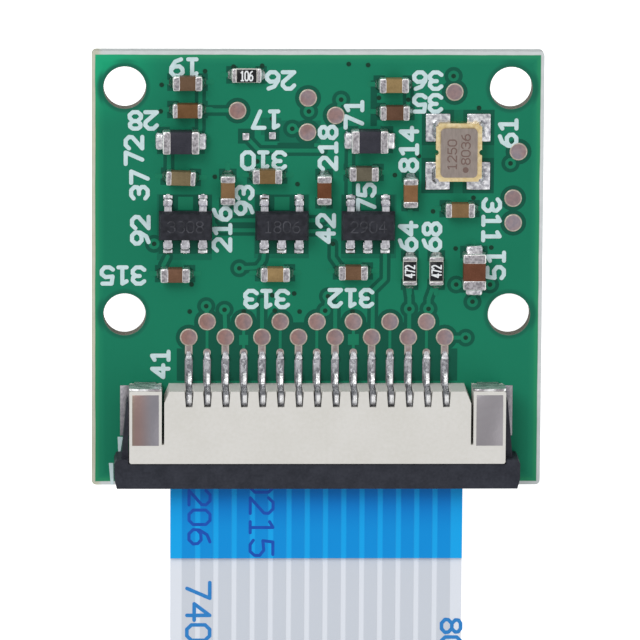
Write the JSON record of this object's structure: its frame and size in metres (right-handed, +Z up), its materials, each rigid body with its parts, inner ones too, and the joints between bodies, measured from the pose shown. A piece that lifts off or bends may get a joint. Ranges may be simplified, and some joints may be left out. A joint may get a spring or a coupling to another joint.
{
  "type": "camera module",
  "caption": "Small camera circuit board: lens underneath, chip parts and a latched flat-cable connector on top, folded ribbon cable attached.",
  "frame": {"origin": "under the middle of the circuit board, on the plane that the lens barrel's rim rests on", "axes": "+Z up, from the lens through the board to the connector's side; +Y towards the board's far edge, so the ribbon cable leaves towards -Y; +X to the right seen from above"},
  "size_m": [0.0246, 0.0915, 0.0121],
  "materials": {
    "board_mask": "satin solder mask",
    "housing_plastic": "matt moulding",
    "tin": "bright tin plate",
    "latch_plastic": "matt moulding",
    "tab_metal": "dull tin plate",
    "black_mould": "matt epoxy moulding",
    "gold_rim": "gold plated rim on ceramic",
    "lid_metal": "satin lid",
    "capacitor_ceramic": "satin ceramic with tinned ends",
    "resistor_black": "glossy coat with tinned ends",
    "inductor_grey": "dark ferrite with tinned ends",
    "foam": "closed cell foam",
    "amber_film": "polyimide film",
    "plug_plastic": "matt moulding",
    "sensor_board": "satin laminate",
    "silicon": "polished silicon",
    "holder_plastic": "matt moulding",
    "filter_glass": "coated glass",
    "barrel_plastic": "matt moulding",
    "lens_glass": "clear lens plastic",
    "ribbon_film": "white polyester film over flat conductors",
    "stiffener_blue": "glossy film",
    "band_paper": "plain film band"
  },
  "bodies": {
    "board": {"circuit_board": "board_mask", "connector_housing": "housing_plastic", "connector_contacts": "tin", "regulator_leads_left": "tin", "regulator_leads_middle": "tin", "regulator_leads_right": "tin", "ribbon_contacts": "tin", "solder_tab_left": "tab_metal", "solder_tab_right": "tab_metal", "regulator_left": "black_mould", "regulator_middle": "black_mould", "regulator_right": "black_mould", "oscillator_base": "gold_rim", "oscillator_lid": "lid_metal", "capacitor_1": "capacitor_ceramic", "capacitor_2": "capacitor_ceramic", "capacitor_3": "capacitor_ceramic", "capacitor_4": "capacitor_ceramic", "capacitor_5": "capacitor_ceramic", "capacitor_6": "capacitor_ceramic", "capacitor_7": "capacitor_ceramic", "capacitor_8": "capacitor_ceramic", "capacitor_9": "capacitor_ceramic", "capacitor_10": "capacitor_ceramic", "capacitor_11": "capacitor_ceramic", "capacitor_12": "capacitor_ceramic", "capacitor_13": "capacitor_ceramic", "capacitor_14": "capacitor_ceramic", "capacitor_15": "capacitor_ceramic", "resistor_1": "resistor_black", "resistor_2": "resistor_black", "resistor_3": "resistor_black", "inductor_left": "inductor_grey", "inductor_right": "inductor_grey", "foam_pad": "foam", "sensor_flex": "amber_film", "flex_plug": "plug_plastic", "board_socket": "plug_plastic", "sensor_base": "sensor_board", "image_sensor": "silicon", "sensor_holder": "holder_plastic", "infrared_filter": "filter_glass", "lens_barrel": "barrel_plastic", "rear_lens": "lens_glass", "middle_lens": "lens_glass", "front_lens": "lens_glass", "ribbon_cable": "ribbon_film", "stiffener_near": "stiffener_blue", "stiffener_far": "stiffener_blue", "ribbon_band": "band_paper"},
    "latch": {"connector_latch": "latch_plastic"}
  },
  "joints": [
    {"name": "latch_slide", "type": "slide", "parent": "board", "child": "latch", "axis": [0, -1, 0], "range_m": [0, 0.0012]}
  ]
}
